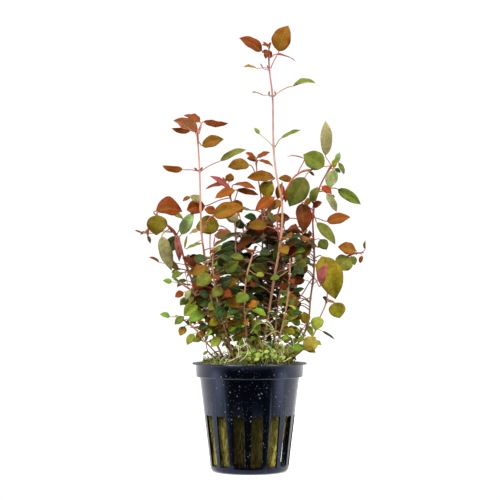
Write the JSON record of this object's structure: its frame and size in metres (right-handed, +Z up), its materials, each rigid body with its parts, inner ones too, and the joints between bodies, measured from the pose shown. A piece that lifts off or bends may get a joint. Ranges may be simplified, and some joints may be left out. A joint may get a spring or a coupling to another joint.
{
  "type": "ludwigia repens in a net pot",
  "caption": "Bushy red and green stem plant for an aquarium, upright in a small black slotted net pot with rock wool and fine roots.",
  "frame": {"origin": "middle of the pot's foot, on the surface that it stands on", "axes": "+Z up along the pot's axis, +X to the right in the picture, +Y away from the camera"},
  "size_m": [0.1053, 0.0726, 0.201],
  "materials": {
    "pot_plastic": "satin",
    "rock_wool": "matte",
    "root_mat": "matte",
    "shoot": "satin",
    "leaf": "satin"
  },
  "bodies": {
    "root": {"pot": "pot_plastic", "rock_wool": "rock_wool", "root_mat": "root_mat", "shoot_tall": "shoot", "shoot_left_tall": "shoot", "shoot_left_arch": "shoot", "shoot_middle": "shoot", "shoot_middle_left": "shoot", "shoot_right": "shoot", "shoot_right_arch": "shoot", "shoot_far_right": "shoot", "shoot_low_left": "shoot", "shoot_low_left_front": "shoot", "shoot_front_left": "shoot", "shoot_front": "shoot", "shoot_front_right": "shoot", "shoot_back_left": "shoot", "shoot_back": "shoot", "shoot_back_right": "shoot", "sprig_left": "shoot", "sprig_front": "shoot", "sprig_right": "shoot", "leaf_tall_top": "leaf", "leaf_tall_left": "leaf", "leaf_tall_low_right": "leaf", "leaf_tall_right": "leaf", "leaf_tall_lower_right": "leaf", "leaf_left_top": "leaf", "leaf_left_crown_right": "leaf", "leaf_left_right": "leaf", "leaf_left_left": "leaf", "leaf_left_long_right": "leaf", "leaf_left_broad": "leaf", "leaf_left_round": "leaf", "leaf_arch_hood": "leaf", "leaf_arch_round": "leaf", "leaf_arch_right": "leaf", "leaf_arch_folded": "leaf", "leaf_arch_long": "leaf", "leaf_middle_left": "leaf", "leaf_middle_front": "leaf", "leaf_middle_round": "leaf", "leaf_centre_magenta": "leaf", "leaf_centre_right": "leaf", "leaf_centre_gold": "leaf", "leaf_centre_thin": "leaf", "leaf_high_right": "leaf", "leaf_right_hanging": "leaf", "leaf_right_upright": "leaf", "leaf_right_crown": "leaf", "leaf_right_outer": "leaf", "leaf_right_dark": "leaf", "leaf_right_orange": "leaf", "leaf_right_green": "leaf", "leaf_right_largest": "leaf", "leaf_right_pink": "leaf", "leaf_far_right_orange": "leaf", "leaf_far_right_green": "leaf", "leaf_far_right_heart": "leaf", "leaf_front_teal": "leaf"}
  },
  "joints": []
}
